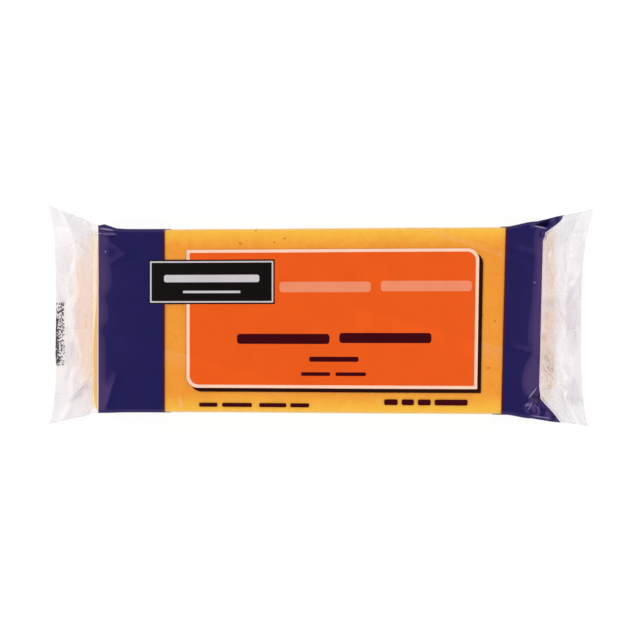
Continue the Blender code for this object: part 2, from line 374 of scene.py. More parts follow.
def film_point(along, side, level, stretch, share):
    """Where a place on the film lies, and how far it is across the flat web from the middle of the face."""
    out = abs(along) - RIM_START
    end = RIGHT if along > 0 else LEFT
    guide = body_guide(along, side) if out <= 0 else end_guide(end, side, out / END_WEB)
    drop = (guide.fold - guide.tuck).length
    reach = min(guide.fold_round, FOLD_MOST * drop)
    sheet_end = 1 - reach / guide.fold.y

    def on_sheet(part):
        weight = max(part**guide.spread, smooth((part - guide.shelf) / EAR_FALL))
        line = mix(guide.middle, guide.fold, weight)
        return Vector((line.x, mix(guide.middle, guide.fold, part).y, line.z))

    side_start = mix(guide.fold, guide.tuck, reach / drop)
    fold_start_web = guide.fold_web - reach
    side_start_web = guide.fold_web + reach
    if stretch == SHEET:
        point, web = on_sheet(share * sheet_end), share * fold_start_web
    elif stretch == FOLD:
        point = bend(on_sheet(sheet_end), guide.fold, side_start, share)
        web = mix(fold_start_web, side_start_web, share)
    else:
        point = mix(side_start, guide.tuck, share)
        web = mix(side_start_web, WEB_QUARTER, share)
    x, y, height = point.x, side * point.y, point.z
    rise = 0.0
    if level > 0 and stretch == SHEET:
        rise -= rim_fall(end, abs(x), y, out)
        if end is RIGHT and side > 0:
            rise -= pocket(x, y)
    if out > 0:
        rise += fin_rise(end, x, y)
        x += foot_wander(end, y, out)
        x = end.sign * (x + (slant(x, y) if end is RIGHT else 0.0))
    else:
        if level > 0:
            crown = max(1 - (x / RIM_START) ** 2, 0) * max(1 - (y / HALF_WIDTH) ** 2, 0)
            rise += TOP_CROWN * crown
        x += slant(x, y) if x > 0 else 0.0
    return MIDDLE + Vector((x, y, level * height + rise)), web


# %% [markdown]
# Creases are what make film read as film. Each one is a low tent along a short straight line, seen from
# above: a height in its middle and a width over which it falls to nothing on both sides. The large ones
# are placed where the photo shows them, and the fine crumpling of the ends is scattered from a
# fixed seed, mostly in line with the welds, because that is how the film was pinched.

# %% Creases
Crease = namedtuple("Crease", "x1 y1 x2 y2 height width")
Crumple = namedtuple("Crumple", "count near far reach length turn height width")
PLACED = (
    Crease(-62.6, 24.1, -57.6, 20.9, 0.08, 2.2),
    Crease(-62.1, 16.6, -54.0, 21.3, 0.08, 2.4),
    Crease(-63.6, -27.6, -59.8, -16.6, 0.17, 2.4),
    Crease(-65.2, 28.6, -60.2, 26.4, 0.25, 0.7),
    Crease(-65.0, 26.6, -60.9, 26.2, -0.20, 0.7),
    Crease(55.7, -8.0, 64.8, -9.7, 0.17, 2.4),
    Crease(56.0, 21.8, 66.0, 19.2, 0.09, 2.2),
    Crease(63.9, 28.3, 68.4, 27.3, 0.40, 0.6),
    Crease(66.6, 25.6, 72.4, 30.6, 0.90, 1.1),
    Crease(63.4, -22.6, 66.0, -19.8, 0.30, 0.5),
    Crease(63.4, -22.8, 66.0, -23.9, -0.50, 0.9),
    Crease(62.2, -24.6, 64.6, -28.4, 0.35, 1.0),
    Crease(65.4, -24.2, 64.8, -28.6, 0.25, 0.9),
    Crease(66.4, -24.2, 71.6, -28.6, 0.45, 1.1),
    Crease(-68.4, -7.5, -69.0, -15.8, 0.40, 0.9),
    Crease(-69.0, -15.8, -75.4, -23.6, 0.55, 1.1),
    Crease(-72.5, 5.2, -67.2, 5.6, 0.16, 0.6),
    Crease(67.3, 7.0, 73.0, 7.2, 0.22, 0.6),
    Crease(67.3, 3.9, 73.0, 4.0, -0.20, 0.6),
    Crease(-74.6, 14.0, -71.0, 22.5, 0.35, 0.9),
    Crease(-72.4, 18.5, -71.6, 2.0, -0.30, 0.9),
)
CRUMPLES = {
    -1: (
        Crumple(14, 67.6, 72.4, 20.0, (4.0, 12.0), 0.25, 0.20, (1.0, 2.2)),
        Crumple(20, 72.0, 78.4, 17.0, (5.0, 14.0), 0.35, 0.16, (1.0, 2.4)),
    ),
    1: (
        Crumple(64, 68.2, 73.4, 20.0, (1.5, 6.0), 0.55, 0.45, (0.6, 1.3)),
        Crumple(28, 72.0, 78.4, 18.0, (3.0, 11.0), 0.35, 0.20, (0.8, 1.9)),
    ),
}
LEFT_SEED = 4
RIGHT_SEED = 9


def scattered(sign, seed):
    """The fine creases of one end, in millimetres from the block's middle."""
    chance = random.Random(seed)
    for kind in CRUMPLES[sign]:
        for _ in range(kind.count):
            x = sign * chance.uniform(kind.near, kind.far)
            y = chance.uniform(-kind.reach, kind.reach)
            half = chance.uniform(*kind.length) / 2
            turn = chance.gauss(0, kind.turn)
            height = chance.uniform(-1, 1) * kind.height
            across, up = half * math.sin(turn), half * math.cos(turn)
            yield Crease(x - across, y - up, x + across, y + up, height, chance.uniform(*kind.width))


creases = [*PLACED, *scattered(-1, LEFT_SEED), *scattered(1, RIGHT_SEED)]
print(len(creases), "creases")

# %% [markdown]
# The film is modelled as a grid, the flat web, whose columns run along the pack and whose rows run round
# it. Rows stand close together at the ends, where the film folds, and wide apart on the block. Each corner
# of a face keeps its place on the flat web as its UV, so the print bends with the film.

# %% Rows and columns of the web
SHEET_COLUMNS = 50
FOLD_COLUMNS = 5
SIDE_COLUMNS = 20
MIDDLE_ROWS = 26
NEAR_ROWS = 26
NEAR_RUN = 8.5 * MM
END_ROWS = 74
SHEET_GRADING = 1.3


def web_rows():
    """The stations along the web, from the left cut edge to the right one."""
    end = [RIM_START + END_WEB * k / END_ROWS for k in range(1, END_ROWS + 1)]
    near = [RIM_START - NEAR_RUN * (1 - k / NEAR_ROWS) for k in range(NEAR_ROWS + 1)]
    inner = near[0]
    middle = [mix(-inner, inner, k / MIDDLE_ROWS) for k in range(1, MIDDLE_ROWS)]
    return [-x for x in reversed(near + end)] + middle + near + end


def web_columns():
    """The places round the web, from the middle of the back over the front edge to the back again."""
    quarter = [(SHEET, 1 - (1 - k / SHEET_COLUMNS) ** SHEET_GRADING) for k in range(SHEET_COLUMNS + 1)]
    quarter += [(FOLD, k / FOLD_COLUMNS) for k in range(1, FOLD_COLUMNS + 1)]
    quarter += [(SIDE, k / SIDE_COLUMNS) for k in range(1, SIDE_COLUMNS + 1)]
    columns = []
    for side, upward in ((-1, True), (1, False)):
        under = [(side, -1, *place) for place in quarter]
        over = [(side, 1, *place) for place in reversed(quarter[:-1])]
        half = under + over
        columns += half if upward else half[::-1][1:]
    return columns


print("grid of the web:", len(web_rows()), "x", len(web_columns()))

# %% [markdown]
# A crease pushes the film out along its own normal on the face and the gables. On the fins, where two sheets
# are welded, it lifts both together. The lower sheet starts to crease further out, so that the pack still
# lies flat, and the outer ends of gables and fins are calmer than their middles.

# %% How creases move the film
CREASE_NEAR_X = 16
CREASE_NEAR_Y = 17
CREASE_ENDS = 0.4
LOWER_SHARE = 0.6
LOWER_START = 3.0 * MM
LOWER_RUN = 3.0 * MM
JOINED = (0.6 * GABLE_WEB, 0.4 * GABLE_WEB)
CALM_OUT = (0.35 * GABLE_WEB, 0.2 * GABLE_WEB)
CALM_FROM = 19
CALM_RUN = 4
FIN_CALM = 0.7


def crease_height(x, y):
    """How far the creases push the film out at a place seen from above, all in millimetres."""
    total = 0.0
    for line in creases:
        if abs(x - line.x1) > CREASE_NEAR_X or abs(y - line.y1) > CREASE_NEAR_Y:
            continue
        run_x, run_y = line.x2 - line.x1, line.y2 - line.y1
        length = run_x * run_x + run_y * run_y
        t = min(max(((x - line.x1) * run_x + (y - line.y1) * run_y) / length, 0.0), 1.0)
        gap = math.hypot(x - line.x1 - t * run_x, y - line.y1 - t * run_y)
        if gap < line.width:
            taper = 1 - (2 * t - 1) ** 4
            total += line.height * (1 - gap / line.width) ** 2 * mix(CREASE_ENDS, 1.0, taper)
    return total


def crease_push(place, normal, out, level, stretch):
    """How far creases move a point of the film, whose place is in millimetres from the block's middle."""
    past_rim = out - RIM_WEB
    fin = smooth((past_rim - JOINED[0]) / JOINED[1])
    loose = 1.0 if stretch == SHEET and level > 0 else 0.0
    if stretch == SHEET and level < 0:
        loose = LOWER_SHARE * smooth((past_rim - LOWER_START) / LOWER_RUN)
    outer = smooth((abs(place.y) - CALM_FROM) / CALM_RUN)
    loose *= 1 - outer * smooth((past_rim - CALM_OUT[0]) / CALM_OUT[1])
    if fin > 0 or (loose > 0 and out > -NEAR_RUN):
        height = crease_height(place.x, place.y if level > 0 or fin > 0 else -place.y) * MM
        height *= 1 - FIN_CALM * fin * outer
        return mix(height * loose * normal, Vector((0, 0, height)), fin)
    return Vector()


# %% [markdown]
# Rolling the web moves each vertex of the flat grid to its place in the pack. The two long edges then meet
# along the middle of the back, where they are merged, and creases come last. A vertex of a tuck is marked
# in an attribute called tucked, so that the material can keep what lies between the sheets quiet.

# %% Roll the web round the block
MERGE = 0.001 * MM


def rolled_film():
    """The film's mesh: a flat grid with its UVs, rolled into a tube and closed along the back."""
    rows, columns = web_rows(), web_columns()
    bm = bmesh.new()
    bmesh.ops.create_grid(bm, x_segments=len(rows) - 1, y_segments=len(columns) - 1, size=0.5)
    layer = bm.loops.layers.uv.new("UVMap")
    tucked = bm.verts.layers.float.new("tucked")
    flat = {}
    for vert in bm.verts:
        row = rows[round((vert.co.x + 0.5) * (len(rows) - 1))]
        side, level, stretch, share = columns[round((vert.co.y + 0.5) * (len(columns) - 1))]
        point, web = film_point(row, side, level, stretch, share)
        around = side * (web if level > 0 else 2 * WEB_QUARTER - web)
        flat[vert] = (0.5 + row / WEB_LENGTH, 0.5 + around / WEB_ROUND, level, stretch)
        vert.co = point
        vert[tucked] = 1.0 if stretch == SIDE and abs(row) > RIM_START else 0.0
    for face in bm.faces:
        for loop in face.loops:
            loop[layer].uv = flat[loop.vert][:2]
    bmesh.ops.remove_doubles(bm, verts=bm.verts, dist=MERGE)
    bm.normal_update()
    for vert in bm.verts:
        u, _, level, stretch = flat[vert]
        out = abs(u - 0.5) * WEB_LENGTH - RIM_START
        vert.co += crease_push((vert.co - MIDDLE) / MM, vert.normal, out, level, stretch)
    return bm


def piece(name, bm, material):
    """A finished mesh as an object at the origin, shaded smooth, in one material."""
    mesh = bpy.data.meshes.new(name)
    bm.to_mesh(mesh)
    bm.free()
    mesh.shade_smooth()
    mesh.materials.append(material)
    made = bpy.data.objects.new(name, mesh)
    bpy.context.scene.collection.objects.link(made)
    print(name, len(mesh.polygons), "faces")
    return made


# %% [markdown]
# Shader maths is easier to read as sums than as a web of nodes. A Wire wraps one socket of one node, and
# each operator on it adds a Math node, so 1 - mask or (x - 2) * 3 works as it does on numbers. Every other
# node comes from one function, which sets the node up first and its sockets after that.

# %% Wires
class Wire:
    """A node's socket that can be used in a Python sum: each operator adds one Math node."""

    def __init__(self, socket):
        self.socket = socket
        self.tree = socket.id_data

    def math(self, operation, *others, clamp=False):
        values = {k + 1: other for k, other in enumerate(others)}
        settings = {"operation": operation, "use_clamp": clamp}
        return add(self.tree, "ShaderNodeMath", settings, {0: self, **values})

    def output(self, name):
        """Another output of the same node."""
        return Wire(self.socket.node.outputs[name])

    def __add__(self, other):
        return self.math("ADD", other)

    __radd__ = __add__

    def __mul__(self, other):
        return self.math("MULTIPLY", other)

    __rmul__ = __mul__

    def __sub__(self, other):
        return self.math("SUBTRACT", other)

    def __rsub__(self, other):
        return (self * -1) + other

    def __truediv__(self, other):
        return self.math("DIVIDE", other)

    def __pow__(self, other):
        return self.math("POWER", other)

    def __abs__(self):
        return self.math("ABSOLUTE")

    def above(self, other):
        """1 where this is more than the other value."""
        return self.math("GREATER_THAN", other)

    def most(self, other):
        return self.math("MAXIMUM", other)

    def least(self, other):
        return self.math("MINIMUM", other)

    def clamped(self):
        return self.math("ADD", 0.0, clamp=True)

    def ramp(self, start, stop):
        """0 at start and 1 at stop, with soft ends; start may be the larger."""
        settings = {"interpolation_type": "SMOOTHSTEP"}
        return add(self.tree, "ShaderNodeMapRange", settings, {0: self, 1: start, 2: stop})


def add(tree, kind, settings=None, values=None, out=0):
    """A node of this kind, its settings and a ramp's stops set first, then its sockets."""
    node = tree.nodes.new(kind)
    for name, value in (settings or {}).items():
        setattr(node, name, value)
    for key, value in (values or {}).items():
        if isinstance(value, Wire):
            tree.links.new(value.socket, node.inputs[key])
        else:
            node.inputs[key].default_value = value
    return Wire(node.outputs[out]) if node.outputs else None


# %% [markdown]
# A few nodes come up again and again, so each has a short name here. Colours are given as a screen shows
# them and turned into the linear values that shaders take. Noise gives clouds, and Voronoi cells give
# patches with straight borders, each with random numbers of its own.

# %% Nodes by short names
def srgb(red, green, blue):
    """A colour as a screen shows it, 0 to 255, as the linear values that shaders take."""
    linear = [((c / 255 + 0.055) / 1.055) ** 2.4 if c > 10 else c / 3295 for c in (red, green, blue)]
    return (*linear, 1.0)


WHITE = srgb(255, 255, 255)


def blank(name):
    """A new material and its tree, emptied."""
    material = bpy.data.materials.new(name)
    material.use_nodes = True
    material.node_tree.nodes.clear()
    return material, material.node_tree


def show(surface):
    """Links a shader to the material's output."""
    add(surface.tree, "ShaderNodeOutputMaterial", {}, {"Surface": surface})


def principled(tree, values):
    """A Principled shader with these values or links on its sockets."""
    return add(tree, "ShaderNodeBsdfPrincipled", {}, values)


def relief(height):
    """The normal of a surface whose fine relief is so many millimetres high."""
    return add(height.tree, "ShaderNodeBump", {}, {"Height": height, "Distance": MM, "Strength": 1.0})


def between(share, first, second):
    """A colour, share of the way from first to second."""
    return add(share.tree, "ShaderNodeMix", {"data_type": "RGBA"}, {0: share, 6: first, 7: second}, out=2)


def blend(share, first, second):
    """A shader, share of the way from first to second."""
    return add(share.tree, "ShaderNodeMixShader", {}, {0: share, 1: first, 2: second})


def vector(x, y):
    """Two numbers as one vector."""
    return add(y.tree, "ShaderNodeCombineXYZ", {}, {0: x, 1: y})


def parts_of(place):
    """The first part of a vector; the others are the outputs Y and Z of the same node."""
    return add(place.tree, "ShaderNodeSeparateXYZ", {}, {0: place})


def grain(place, scale, detail=2.0, roughness=0.5):
    """Noise from 0 to 1 at so many waves a unit of the vector."""
    values = {"Vector": place, "Scale": scale, "Detail": detail, "Roughness": roughness}
    return add(place.tree, "ShaderNodeTexNoise", {}, values)


def cells(place, scale, feature="F1"):
    """How far a place is from the middle of its Voronoi cell, or from the nearest border between cells."""
    return add(place.tree, "ShaderNodeTexVoronoi", {"feature": feature}, {"Vector": place, "Scale": scale})


def chances(cell):
    """A random number of each cell's own; two more are the outputs Green and Blue of the same node."""
    return add(cell.tree, "ShaderNodeSeparateColor", {}, {0: cell.output("Color")})


def any_of(masks):
    """The highest of several masks."""
    return reduce(Wire.most, masks)


# %% [markdown]
# The print is made of flat fields of ink: a dark blue band round each end, and an orange panel with a pale
# border and a dark shadow under it. Each field is a rectangle worked out from its distance to the nearest
# edge, so its edges stay sharp at any size and two of its corners can be round. All sizes are in
# millimetres on the flat web.

# %% Fields of ink
INK_EDGE = 0.07
SHARP_CORNER = 0.15


def vector_math(operation, first, second=None, out=0):
    """One Vector Math node."""
    values = {0: first} if second is None else {0: first, 1: second}
    return add(first.tree, "ShaderNodeVectorMath", {"operation": operation}, values, out)


def box(place, centre, half, radius=SHARP_CORNER, soft=INK_EDGE):
    """1 inside a rectangle with rounded corners and 0 outside it; place is a vector."""
    off = vector_math("ABSOLUTE", vector_math("SUBTRACT", place, (*centre, 0.0)))
    past = vector_math("SUBTRACT", off, (half[0] - radius, half[1] - radius, 0.0))
    outside = vector_math("LENGTH", vector_math("MAXIMUM", past, (0.0, 0.0, 0.0)), out=1)
    return outside.ramp(radius + soft / 2, radius - soft / 2)


def stripe(x, centre, half, soft=INK_EDGE):
    """1 in a stripe right round the web."""
    return (0.5 - (abs(x - centre) - half) / soft).clamped()


def between_edges(x, near, other_x, far, soft=INK_EDGE):
    """1 where x is past the near edge and other_x is short of the far one."""
    return (0.5 + (x - near) / soft).clamped() * (0.5 + (far - other_x) / soft).clamped()


# %% [markdown]
# The panel, the plate and the clear film below them carry plain bars in the tones of the print. A bar is a
# rectangle with round ends; its left and right ends, its height up the pack and its thickness are all that
# it needs.

# %% Bars of ink
BAR_ROUND = 0.3
Bar = namedtuple("Bar", "left right middle height")
PALE_BARS = (Bar(-11.4, 15.6, 10.0, 3.1), Bar(18.6, 45.4, 10.2, 3.1))
LARGE_BARS = (Bar(-24.0, 3.4, -5.4, 3.0), Bar(6.3, 33.6, -5.1, 3.0))
SMALL_BARS = (Bar(-2.6, 12.0, -11.4, 1.5), Bar(-5.0, 3.6, -15.8, 1.1), Bar(5.2, 14.2, -15.8, 1.1))
CLEAR_BARS = (
    Bar(-35.2, -29.8, -25.1, 1.2), Bar(-28.4, -19.6, -25.1, 1.2), Bar(-17.4, -9.4, -25.1, 1.2),
    Bar(-8.2, -2.6, -25.1, 1.2), Bar(19.6, 23.6, -24.0, 1.7), Bar(24.8, 28.4, -24.0, 1.7),
    Bar(29.6, 33.4, -24.0, 1.7), Bar(34.6, 44.6, -24.0, 1.7),
)
PLATE_BARS = (Bar(-45.6, -17.4, 12.6, 2.2), Bar(-40.0, -23.0, 8.6, 0.7))


def bars(place, places):
    """1 on any of the bars."""
    return any_of(
        box(
            place, ((bar.left + bar.right) / 2, bar.middle),
            ((bar.right - bar.left) / 2, bar.height / 2), BAR_ROUND * bar.height,
        )
        for bar in places
    )


# %% [markdown]
# In the hollows and folds of the blue film the band is painted nearly black, as painted shade, and where a
# crease turns towards the light it is painted lilac, as a painted highlight, with a few tiny painted glints.
# Both are laid on the band as soft ovals in its own tones, along the creases that the mesh has. A Mapping
# node moves, turns and squeezes the plane so that each oval becomes a plain circle.

# %% Painted shade and highlights on the blue bands
Patch = namedtuple("Patch", "x y half_x half_y turn share")
SPOT_EDGE = 0.3
# painted shade in the band's hollows and folds
BAND_SHADES = (
    Patch(-62.3, 26.9, 2.3, 0.20, -8, 0.7), Patch(-61.9, 25.2, 2.2, 0.22, 4, 0.7),
    Patch(66.0, -21.9, 2.2, 0.95, 47, 0.75), Patch(66.9, 28.1, 1.5, 0.7, 8, 0.8),
    Patch(64.9, -24.0, 1.0, 0.2, 30, 0.5),
)
# painted highlights and tiny painted glints where creases turn towards the light
LIT = (
    Patch(-62.6, 27.4, 2.0, 0.22, -7, 0.45), Patch(-61.9, 26.0, 2.2, 0.35, -2, 0.12),
    Patch(64.9, -21.1, 1.9, 0.16, 49, 0.5), Patch(65.8, 27.3, 1.9, 0.16, -12, 0.45),
    Patch(63.2, -24.6, 0.8, 0.5, 20, 0.20), Patch(64.1, -25.0, 1.5, 0.14, 60, 0.35),
    Patch(67.6, -28.2, 3.2, 0.2, -8, 0.28), Patch(66.6, -25.6, 1.4, 0.35, -50, 0.08),
    Patch(-64.6, 26.2, 0.15, 0.15, 0, 0.8), Patch(-63.0, 20.7, 0.16, 0.2, 0, 0.6),
    Patch(64.6, 11.2, 0.16, 0.16, 0, 0.7),
)
GLINT = srgb(196, 184, 226)
BAND_SHADE = srgb(13, 8, 38)


def spot(place, patch, soft):
    """How strongly one patch covers a place: an oval with a soft edge."""
    values = {
        "Vector": place, "Location": (patch.x, patch.y, 0.0),
        "Rotation": (0.0, 0.0, math.radians(patch.turn)), "Scale": (patch.half_x, patch.half_y, 1.0),
    }
    oval = add(place.tree, "ShaderNodeMapping", {"vector_type": "TEXTURE"}, values)
    return vector_math("LENGTH", oval, out=1).ramp(1 + soft, 1 - soft) * patch.share


def spots(place, patches, soft=SPOT_EDGE):
    """How strongly any of the patches covers a place."""
    return any_of(spot(place, patch, soft) for patch in patches)


# %% [markdown]
# The inks go down in order, each over the last, and a second value says where the film is covered at all.
# A thin pale line past each band's outer edge is a painted highlight, where the film's rim catches the
# light. The web narrows a little where it was pulled over the right end, so the print leans with it there,
# and at that end's corners the film is drawn out, which takes the band's outer edge out with it.

# %% Print
LEAN = 0.0262
LEAN_FROM = 30.0
LEAN_TO = 60.0
EDGE_WAVES = 0.35
EDGE_WANDER = 0.12
LINE = 0.42
BAND_LEFT = (-65.15, -45.8)
BAND_RIGHT = (55.35, 67.4)
EAR_BACK = (25.6, 31.3, 6.9)
EAR_FRONT = (22.7, 30.2, 6.9)
EAR_TUCKED = 2.5
# width and cover of the painted highlight past each band's outer edge
RIM_GLINT_WIDTH = 0.30
RIM_GLINT_COVER = 0.75
PANEL_CENTRE = (4.25, 0.58)
PANEL_HALF = (43.2, 20.62)
PANEL_ROUND = 3.4
PANEL_BORDER = 0.92
INNER_ROUND = 2.7
SHADOW_STEP = 1.15
PLATE_CENTRE = (-31.5, 11.6)
PLATE_HALF = (18.7, 6.65)
RULE_INSET = 0.45
FIELD_INSET = 0.90
# colour of the painted highlight along the film's rim
RIM_GLINT_COLOUR = srgb(250, 232, 232)
BLUE = srgb(34, 31, 84)
MAROON = srgb(92, 14, 22)
PANEL = srgb(236, 91, 27)
CREAM = srgb(255, 210, 186)
SHADOW = srgb(40, 13, 9)
BLACK = srgb(20, 15, 15)
SILVER = srgb(203, 198, 202)
SALMON = srgb(240, 142, 104)
WINE = srgb(62, 6, 16)


def place_on_web(tree):
    """How far along and across the flat web a place is, in millimetres."""
    uv = parts_of(add(tree, "ShaderNodeUVMap", {"uv_map": "UVMap"}))
    return (uv - 0.5) * (WEB_LENGTH / MM), (uv.output("Y") - 0.5) * (WEB_ROUND / MM)


def ear(from_middle, start, fold, reach):
    """How much further out the band's far edge lies towards a fold, where the film is drawn out."""
    on_sheet = (from_middle - start) / (fold - start)
    on_tuck = (fold + EAR_TUCKED - from_middle) / EAR_TUCKED
    return on_sheet.least(on_tuck).clamped() * reach


def bands(along, across, x):
    """The masks of the blue bands, of the lines along their inner edges and of the painted rim highlight
    past their outer edges.
    """
    wavy = x + (grain(vector(0.0, across), EDGE_WAVES) - 0.5) * EDGE_WANDER
    back = across.above(0.0)
    from_middle = WEB_QUARTER / MM - abs(abs(across) - WEB_QUARTER / MM)
    far_edge = BAND_RIGHT[1] + back * ear(from_middle, *EAR_BACK)
    far_edge = far_edge + (1 - back) * ear(from_middle, *EAR_FRONT)
    blue = between_edges(along, BAND_LEFT[0], wavy, BAND_LEFT[1])
    blue = blue.most(between_edges(wavy, BAND_RIGHT[0], along, far_edge))
    lines = stripe(x, BAND_LEFT[1], LINE).most(stripe(x, BAND_RIGHT[0], LINE))
    # painted highlight: a thin pale line past each band's outer edge, where the film's rim catches the light
    rim_glint = between_edges(along, BAND_LEFT[0] - RIM_GLINT_WIDTH, along, BAND_LEFT[0])
    return blue, lines, rim_glint.most(between_edges(along, far_edge, along, far_edge + RIM_GLINT_WIDTH))


def inset(half, gap):
    """The half sizes of a rectangle that lies this gap inside another."""
    return [side - gap for side in half]


def printed(along, across):
    """The colour of the ink, where it covers the film, and where it is the blue of the bands."""
    x = along - across * along.ramp(LEAN_FROM, LEAN_TO) * LEAN
    blue, lines, rim_glint = bands(along, across, x)
    flat = vector(x, across)
    rounded = ((x - PANEL_CENTRE[0]) * (across - PANEL_CENTRE[1])).above(0.0)

    def field(centre, half, radius):
        return box(flat, centre, half) * (1 - rounded) + box(flat, centre, half, radius) * rounded

    shadow = field((PANEL_CENTRE[0] + SHADOW_STEP, PANEL_CENTRE[1] - SHADOW_STEP), PANEL_HALF, PANEL_ROUND)
    border = field(PANEL_CENTRE, PANEL_HALF, PANEL_ROUND)
    inner = field(PANEL_CENTRE, inset(PANEL_HALF, PANEL_BORDER), INNER_ROUND)
    plate = box(flat, PLATE_CENTRE, PLATE_HALF)
    clear_bars = bars(flat, CLEAR_BARS)
    here = vector(along, across)
    layers = (
        # the pale line past the bands is a painted highlight
        (lines, MAROON), (rim_glint, RIM_GLINT_COLOUR), (blue, BLUE), (clear_bars, WINE), (shadow, SHADOW),
        (border, CREAM), (inner, PANEL), (bars(flat, PALE_BARS), SALMON), (bars(flat, LARGE_BARS), WINE),
        (bars(flat, SMALL_BARS), WINE), (plate, BLACK),
        (box(flat, PLATE_CENTRE, inset(PLATE_HALF, RULE_INSET)), SILVER),
        (box(flat, PLATE_CENTRE, inset(PLATE_HALF, FIELD_INSET)), BLACK),
        (bars(flat, PLATE_BARS), SILVER),
        # painted shade and painted highlights on the blue bands
        (blue * spots(here, BAND_SHADES), BAND_SHADE), (blue * spots(here, LIT), GLINT),
    )
    colour = MAROON
    for mask, ink in layers:
        colour = between(mask, colour, ink)
    cover = any_of((blue, lines, rim_glint * RIM_GLINT_COVER, clear_bars, shadow, border, plate))
    return colour, cover, blue * (1 - plate)


# %% [markdown]
# A printer on the packing line drops black ink on the left fin: short dark ticks that stand in rows, beside
# one darker line. They are made by two noises, a fine one that is stretched and turned for the strokes, and
# a broad one that lets them through in some places only. Towards one side the ticks thin out.

# %% Stamped ticks
STAMP_CENTRE = (-87.2, -4.1)
STAMP_HALF = (1.3, 9.7)
STAMP_ROUND = 0.3
STAMP_SOFT = 0.4
STROKE_WAVES = 1.35
STROKE_ALONG = (1.5, 0.8)
STROKE_ACROSS = (0.95, -0.5)
BROAD_WAVES = 1.2
BROAD_STRETCH = (0.9, 0.5)
BROAD_SHARE = 0.4
STAMP_THINS = 0.02
STAMP_THINS_UP = 0.009
TICK_FROM = 0.69
TICK_TO = 0.73
STAMP_CORE = (-88.38, -5.2)
CORE_HALF = (0.30, 6.3)
CORE_SOFT = 0.15
CORE_WOBBLE = 0.5
CORE_GAP = 0.32
CORE_FULL = 0.42


def stamped(along, across):
    """1 on the ticks of the stamp."""
    field = box(vector(along, across), STAMP_CENTRE, STAMP_HALF, STAMP_ROUND, STAMP_SOFT)
    strokes = vector(
        along * STROKE_ALONG[0] + across * STROKE_ALONG[1],
        across * STROKE_ACROSS[0] + along * STROKE_ACROSS[1],
    )
    fine = grain(strokes, STROKE_WAVES, 1.0)
    broad = grain(vector(along * BROAD_STRETCH[0], across * BROAD_STRETCH[1]), BROAD_WAVES, 1.0)
    thinning = (along - STAMP_CENTRE[0]) * (STAMP_THINS - (across - STAMP_CENTRE[1]) * STAMP_THINS_UP)
    ticks = (fine + broad * BROAD_SHARE - thinning).ramp(TICK_FROM, TICK_TO)
    wobbled = vector(along + (broad - 0.5) * CORE_WOBBLE, across)
    core = box(wobbled, STAMP_CORE, CORE_HALF, SHARP_CORNER, CORE_SOFT) * fine.ramp(CORE_GAP, CORE_FULL)
    return (field * ticks).most(core)


# %% [markdown]
# The film clings to the cheese except beside a few long lines, where a little air is shut in under it and
# the cheese looks paler: the film is painted paler there, a painted sheen for the extra light that film over
# air reflects, and its inks a little lighter. Each line is given by a point on it and its slope, and the
# sheen fades out on one side of it. There is also one short pucker at the lower left, a narrow wedge of
# painted highlight.

# %% Painted sheen where air is under the film
AirLine = namedtuple("AirLine", "x y slope side reach")
AIR_LINES = (
    AirLine(-38.0, -10.6, -0.28, -1, 7.0), AirLine(40.0, -4.0, -0.27, -1, 8.0),
    AirLine(48.0, 20.8, -0.33, 1, 3.0),
)
AIR_REACH = 34.0
AIR_FADE = 9.0
PUCKER = (-40.7, -25.8)
PUCKER_HALF = 0.9
PUCKER_HEIGHT = 5.4
PUCKER_SOFT = 0.4
PUCKER_STRENGTH = 1.8


def air_sheen_beside(along, across, line):
    """How much painted sheen lies beside one line, where air is under the film."""
    off = (across - line.y - (along - line.x) * line.slope) * line.side
    near = abs(along - line.x).ramp(AIR_REACH, AIR_REACH - AIR_FADE)
    return off.above(0.0) * (1 - off / line.reach).clamped() * near


def air_sheen(along, across):
    """How much painted sheen the film has where air lies between film and cheese, with the pucker's painted
    highlight.
    """
    up = across - PUCKER[1]
    pucker = (PUCKER_HALF * (1 - up / PUCKER_HEIGHT) - abs(along - PUCKER[0])) / PUCKER_SOFT
    sheen = any_of(air_sheen_beside(along, across, line) for line in AIR_LINES)
    # the pucker is a narrow wedge of painted highlight
    return sheen.most(pucker.clamped() * up.above(0.0) * PUCKER_STRENGTH)


# %% [markdown]
# On the gables and fins light and shade are painted into the haze: a painted warm glow, the cheese's colour
# reflected near its end faces, with stronger patches of it; painted mauve shade in the hollows; painted
# white highlights along the ridges; a crackle of fine dark lines at the lower right, painted shade where the
# wrinkled film refracts; and two folds painted dark with shade. They are placed as ovals seen from above, in
# millimetres from the block's middle, because that is how light falls on them.

# %% Painted light and shade of the crumpled ends
GLOWS = (
    Patch(-70.4, 9.5, 3.0, 12.0, 0, 0.7), Patch(-70.2, -6.0, 2.8, 12.5, 4, 1.0),
    Patch(69.6, 14.0, 2.2, 14.5, 0, 0.8), Patch(69.4, -8.0, 2.6, 14.0, 0, 0.75),
)
# stronger patches of the painted glow of the cheese
STRONG_GLOWS = (
    Patch(-72.4, 11.4, 0.4, 4.6, 4, 0.8), Patch(69.6, 0.5, 1.0, 3.6, 0, 0.35),
    Patch(68.6, -4.0, 0.7, 2.6, 10, 0.5), Patch(71.4, -18.6, 1.2, 0.8, 20, 0.7),
    Patch(69.8, 24.0, 1.1, 3.0, -12, 0.4),
)
SHADES = (
    Patch(-71.9, -21.6, 4.2, 1.0, 42, 0.6), Patch(-74.2, -9.0, 0.5, 3.4, 0, 0.35),
    Patch(-73.4, -1.8, 0.4, 2.6, -8, 0.35), Patch(77.0, -22.0, 2.6, 4.0, 15, 0.45),
    Patch(70.2, 5.6, 2.4, 1.4, 0, 0.35), Patch(76.6, 2.0, 1.6, 12.0, 3, 0.3),
)
